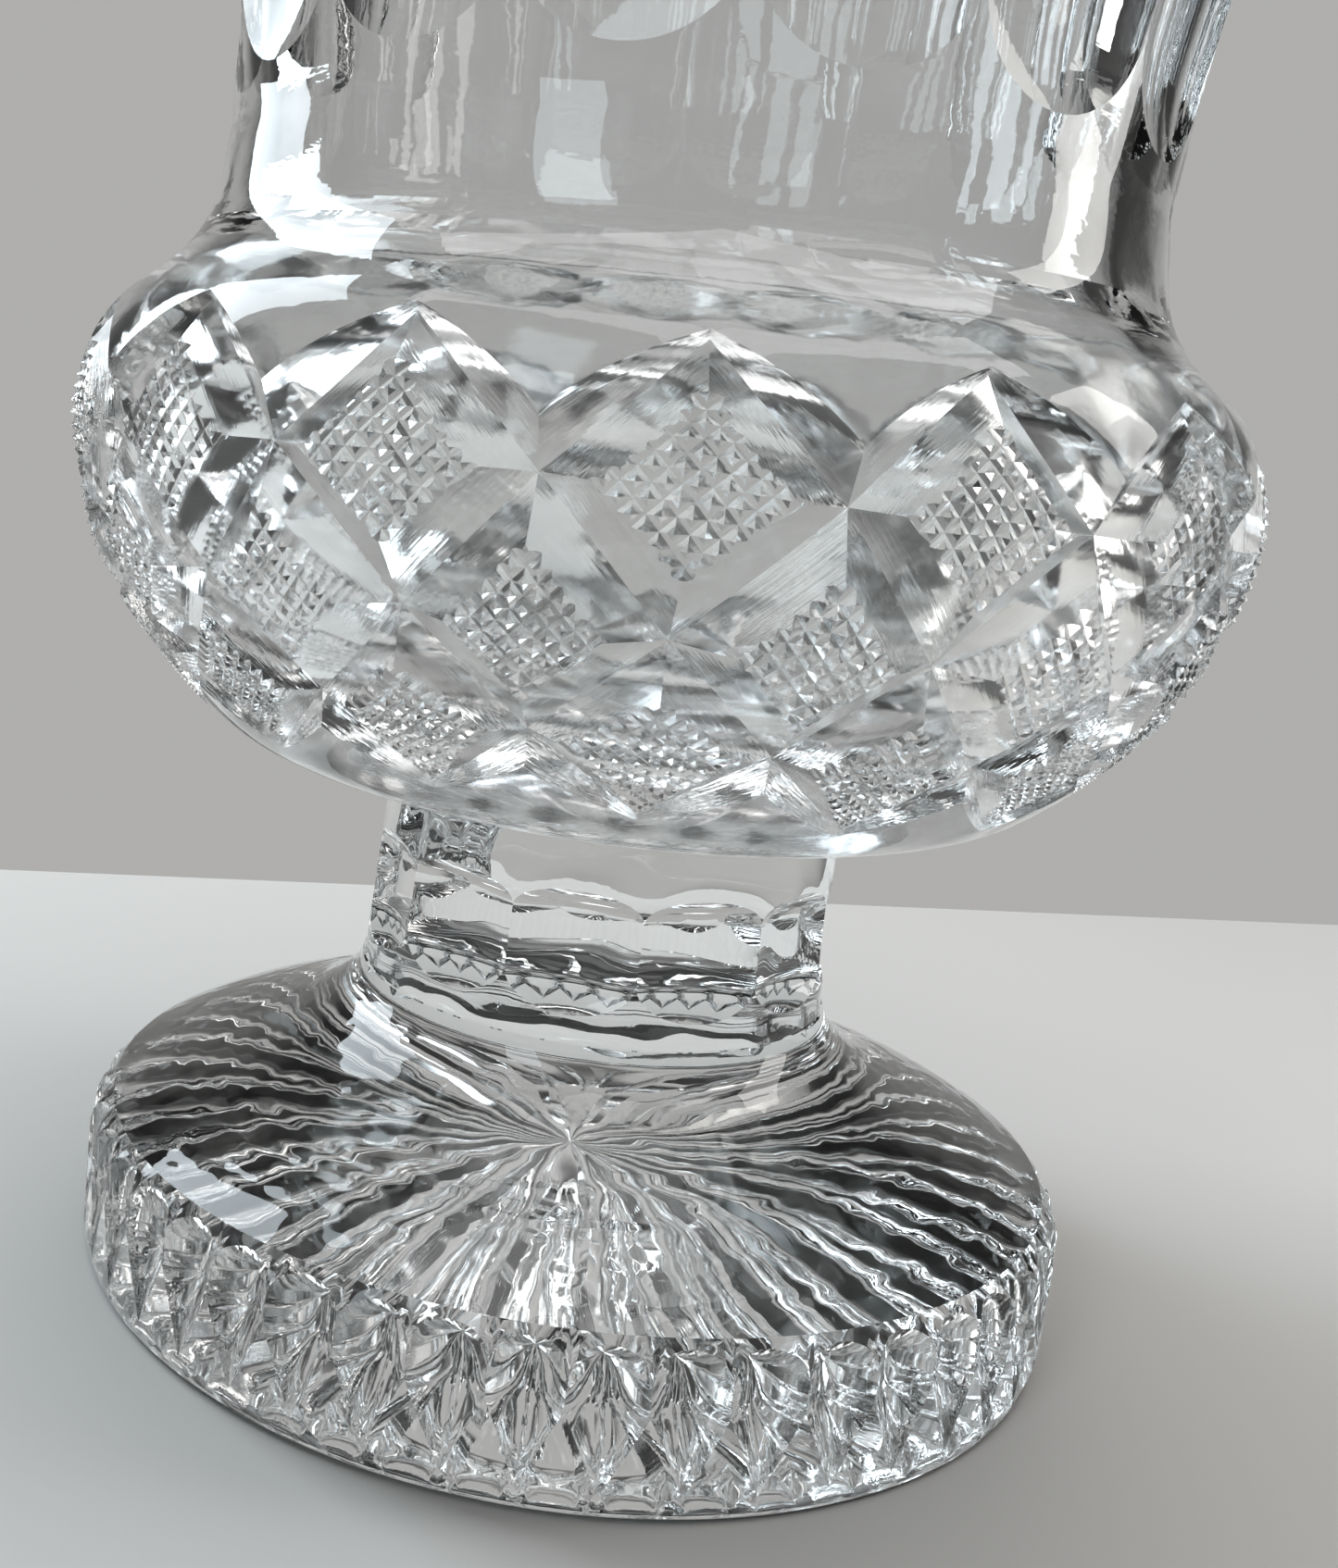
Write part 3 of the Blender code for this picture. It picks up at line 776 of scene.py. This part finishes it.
def noise_bump(material, place, stretch, scale, strength):
    """The normals of a noisy surface, over the places that a socket gives."""
    nodes, links = material.node_tree.nodes, material.node_tree.links
    mapping = nodes.new("ShaderNodeMapping")
    mapping.inputs["Scale"].default_value = stretch
    noise = nodes.new("ShaderNodeTexNoise")
    noise.inputs["Scale"].default_value = scale
    noise.inputs["Detail"].default_value = 2.0
    bump = nodes.new("ShaderNodeBump")
    bump.inputs["Strength"].default_value = strength
    bump.inputs["Distance"].default_value = BUMP_HEIGHT
    links.new(place, mapping.inputs["Vector"])
    links.new(mapping.outputs["Vector"], noise.inputs["Vector"])
    links.new(noise.outputs["Fac"], bump.inputs["Height"])
    links.new(bump.outputs["Normal"], nodes["Principled BSDF"].inputs["Normal"])
    return bump


def map_range(nodes, links, value, start, end, low, high):
    """A smooth step from low to high, as a value runs from start to end."""
    ramp = nodes.new("ShaderNodeMapRange")
    ramp.interpolation_type = "SMOOTHSTEP"
    for name, number in (("From Min", start), ("From Max", end), ("To Min", low), ("To Max", high)):
        ramp.inputs[name].default_value = number
    links.new(value, ramp.inputs["Value"])
    return ramp.outputs["Result"]


def crystal(name, wavelength, strength, stretch=(1.0, 1.0, 1.0), roughness=0.0):
    """Clear lead crystal with a fine unevenness, whose wavelength is in millimetres."""
    material, nodes, _ = new_material(name)
    shader = nodes["Principled BSDF"]
    shader.inputs["Base Color"].default_value = (0.985, 0.995, 0.995, 1.0)
    shader.inputs["Transmission Weight"].default_value = 1.0
    shader.inputs["IOR"].default_value = 1.54
    shader.inputs["Roughness"].default_value = roughness
    place = nodes.new("ShaderNodeTexCoord")
    noise_bump(material, place.outputs["Object"], stretch, 1.0 / (wavelength * MM), strength)
    return material


def add_grinding(material, strength):
    """Add the fine marks that the cutting wheel left along the cuts."""
    nodes, links = material.node_tree.nodes, material.node_tree.links
    under = nodes["Principled BSDF"].inputs["Normal"].links[0].from_socket
    place = nodes.new("ShaderNodeUVMap")
    place.uv_map = "grinding"
    bump = noise_bump(material, place.outputs["UV"], GRINDING_STRETCH, GRINDING_SCALE, strength)
    links.new(under, bump.inputs["Normal"])


def cloud(material):
    """The blown inside of the bulb is softer than the polished outside, and the neck is clear."""
    nodes, links = material.node_tree.nodes, material.node_tree.links
    place = nodes.new("ShaderNodeTexCoord")
    split = nodes.new("ShaderNodeSeparateXYZ")
    links.new(place.outputs["Object"], split.inputs["Vector"])
    height = split.outputs["Z"]
    roughness = map_range(nodes, links, height, CLEAR_ABOVE, CLOUDY_BELOW, 0.0, CLOUDY_ROUGHNESS)
    links.new(roughness, nodes["Principled BSDF"].inputs["Roughness"])


def fused(name):
    """The inner faces at a fused seam, which light crosses as if they weren't there."""
    material, nodes, _ = new_material(name)
    nodes["Principled BSDF"].inputs["Alpha"].default_value = 0.0
    nodes["Principled BSDF"].inputs["Specular IOR Level"].default_value = 0.0
    return material


# ---------------------------------------------------------------- studio

FLOOR_REACH = 1.6                       # the floor's sizes are in metres
FLOOR_BACK = 0.1975
FLOOR_THICKNESS = 0.02
FLOOR_GAP = 0.00005                     # between the floor and the foot
FLOOR_TURN = math.radians(17.1)
# The backdrop fades in between these backward parts of a direction, and these upward parts.
BACKDROP_SIDES = (0.68, 0.88)
BACKDROP_FOOT = (-0.34, -0.28)
BACKDROP_GREY = 0.39
ROOM_GREY = 0.04
VASE_MIDDLE = (0.0, 0.0, 0.12)
# Each light's place, the point it faces, its width and height, its power in watts and its colour.
LIGHTS = {
    "window": ((-0.9, 0.45, 0.75), VASE_MIDDLE, (0.5, 0.9), 9.0, (0.84, 0.94, 1.0)),
    "front_window": ((-0.55, -0.9, 0.75), VASE_MIDDLE, (0.3, 0.6), 1.8, (0.86, 0.95, 1.0)),
    "side": ((0.9, 0.1, 0.5), VASE_MIDDLE, (0.25, 0.7), 2.0, (1.0, 0.98, 0.95)),
    "overhead": ((0.1, 0.1, 1.1), (0.0, 0.0, 0.0), (1.0, 1.0), 6.5, (1.0, 1.0, 1.0)),
}
GLASS_BOUNCES = 32                      # enough for light to cross all the cut glass


def plain(name, colour, roughness=0.6):
    material, nodes, _ = new_material(name)
    nodes["Principled BSDF"].inputs["Base Color"].default_value = (*colour, 1.0)
    nodes["Principled BSDF"].inputs["Roughness"].default_value = roughness
    return material


def slab(name, low, high, material):
    bm = bmesh.new()
    bmesh.ops.create_cube(bm, size=1.0)
    mesh = bpy.data.meshes.new(name)
    bm.to_mesh(mesh)
    bm.free()
    item = bpy.data.objects.new(name, mesh)
    item.scale = [b - a for a, b in zip(low, high)]
    item.location = [(a + b) / 2.0 for a, b in zip(low, high)]
    mesh.materials.append(material)
    bpy.context.scene.collection.objects.link(item)
    bpy.context.view_layer.update()
    return item


def soft_light(name, place, aim, size, power, colour):
    light = bpy.data.lights.new(name, "AREA")
    light.shape = "RECTANGLE"
    light.size, light.size_y = size
    light.energy = power
    light.color = colour
    item = bpy.data.objects.new(name, light)
    item.location = place
    item.rotation_mode = "QUATERNION"
    item.rotation_quaternion = (Vector(aim) - Vector(place)).to_track_quat("-Z", "Y")
    bpy.context.scene.collection.objects.link(item)


def make_world():
    """A grey backdrop behind the vase, in a room that is dim everywhere else."""
    world = bpy.data.worlds.new("studio")
    bpy.context.scene.world = world
    world.use_nodes = True
    nodes, links = world.node_tree.nodes, world.node_tree.links
    place = nodes.new("ShaderNodeTexCoord")
    split = nodes.new("ShaderNodeSeparateXYZ")
    links.new(place.outputs["Generated"], split.inputs["Vector"])
    across = map_range(nodes, links, split.outputs["Y"], *BACKDROP_SIDES, 0.0, 1.0)
    upwards = map_range(nodes, links, split.outputs["Z"], *BACKDROP_FOOT, 0.0, BACKDROP_GREY)
    behind = nodes.new("ShaderNodeMath")
    behind.operation = "MULTIPLY_ADD"
    links.new(across, behind.inputs[0])
    links.new(upwards, behind.inputs[1])
    behind.inputs[2].default_value = ROOM_GREY
    mix = nodes.new("ShaderNodeCombineColor")
    for channel, tint in (("Red", 1.0), ("Green", 0.99), ("Blue", 0.97)):
        scale = nodes.new("ShaderNodeMath")
        scale.operation = "MULTIPLY"
        scale.inputs[1].default_value = tint
        links.new(behind.outputs["Value"], scale.inputs[0])
        links.new(scale.outputs["Value"], mix.inputs[channel])
    links.new(mix.outputs["Color"], nodes["Background"].inputs["Color"])


def make_floor():
    """A pale table top, whose far edge runs across behind the vase."""
    top = CAD_BOX[0][2] - FLOOR_GAP
    low = (-FLOOR_REACH, -FLOOR_REACH, top - FLOOR_THICKNESS)
    high = (FLOOR_REACH, FLOOR_BACK, top)
    floor = slab("floor", low, high, plain("pale_floor", (0.80, 0.785, 0.76)))
    floor.matrix_world = Matrix.Rotation(FLOOR_TURN, 4, "Z") @ floor.matrix_world


def make_lights():
    """Two windows on the left, a weak light on the right and a soft one overhead."""
    for name, settings in LIGHTS.items():
        soft_light(name, *settings)


def set_up_cycles():
    """Many bounces in the glass, and no caustics."""
    scene = bpy.context.scene
    scene.view_settings.view_transform = "Standard"
    scene.cycles.caustics_refractive = False
    scene.cycles.caustics_reflective = False
    scene.cycles.max_bounces = GLASS_BOUNCES
    scene.cycles.transmission_bounces = GLASS_BOUNCES
    scene.cycles.glossy_bounces = 8
    scene.cycles.transparent_max_bounces = GLASS_BOUNCES


def make_camera():
    """Close to the vase, level with its bulb, looking down a little and leaning slightly."""
    data = bpy.data.cameras.new("camera")
    camera = bpy.data.objects.new("camera", data)
    bpy.context.scene.collection.objects.link(camera)
    bpy.context.scene.camera = camera
    data.sensor_width = 36.0
    data.lens = 38.06
    data.shift_x, data.shift_y = 0.096, -0.04
    data.clip_start = 0.01
    distance, height = 0.2469, 0.1192   # in metres, from the axis and above the table
    azimuth, heading, pitch, roll = (math.radians(angle) for angle in (-2.77, -3.64, 9.06, 6.69))
    level = Vector((math.sin(heading), math.cos(heading), 0.0))
    forward = level * math.cos(pitch) - Vector((0.0, 0.0, math.sin(pitch)))
    right = Vector((math.cos(heading), -math.sin(heading), 0.0))
    up = right.cross(forward)
    leaning_right = math.cos(roll) * right + math.sin(roll) * up
    leaning_up = -math.sin(roll) * right + math.cos(roll) * up
    axes = Matrix((leaning_right, leaning_up, -forward)).transposed().to_4x4()
    place = Matrix.Translation((0.0, -distance, height)) @ axes
    camera.matrix_world = Matrix.Rotation(azimuth, 4, "Z") @ place


def add(piece, node_name):
    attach(piece, "root")
    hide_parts(node_name)


seam = fused("fused_seam")
facets = crystal("cut_facets", wavelength=1.6, strength=0.04, roughness=0.02)
add_grinding(facets, strength=0.12)
fine_cuts = crystal("fine_cuts", wavelength=0.8, strength=0.03, roughness=0.02)
smooth_glass = crystal("smooth_glass", wavelength=4.0, strength=0.05)
flutes = crystal("polished_flutes", wavelength=0.8, strength=0.015, stretch=(1.0, 1.0, 0.08))
rippled = crystal("rippled_inside", wavelength=4.0, strength=0.10, stretch=(1.0, 1.0, 2.5))
cloud(rippled)
add(make_bowl([facets, fine_cuts, smooth_glass, flutes, rippled, seam]), "bowl")
add(make_stem([smooth_glass, seam]), "stem")
star_cuts = crystal("star_cuts", wavelength=3.0, strength=0.02)
add_grinding(star_cuts, strength=0.035)
wall_cuts = crystal("wall_flutes", wavelength=1.6, strength=0.04)
add_grinding(wall_cuts, strength=0.03)
add(make_foot([wall_cuts, star_cuts, smooth_glass, seam]), "foot")

make_world()
make_floor()
make_lights()
make_camera()
set_up_cycles()
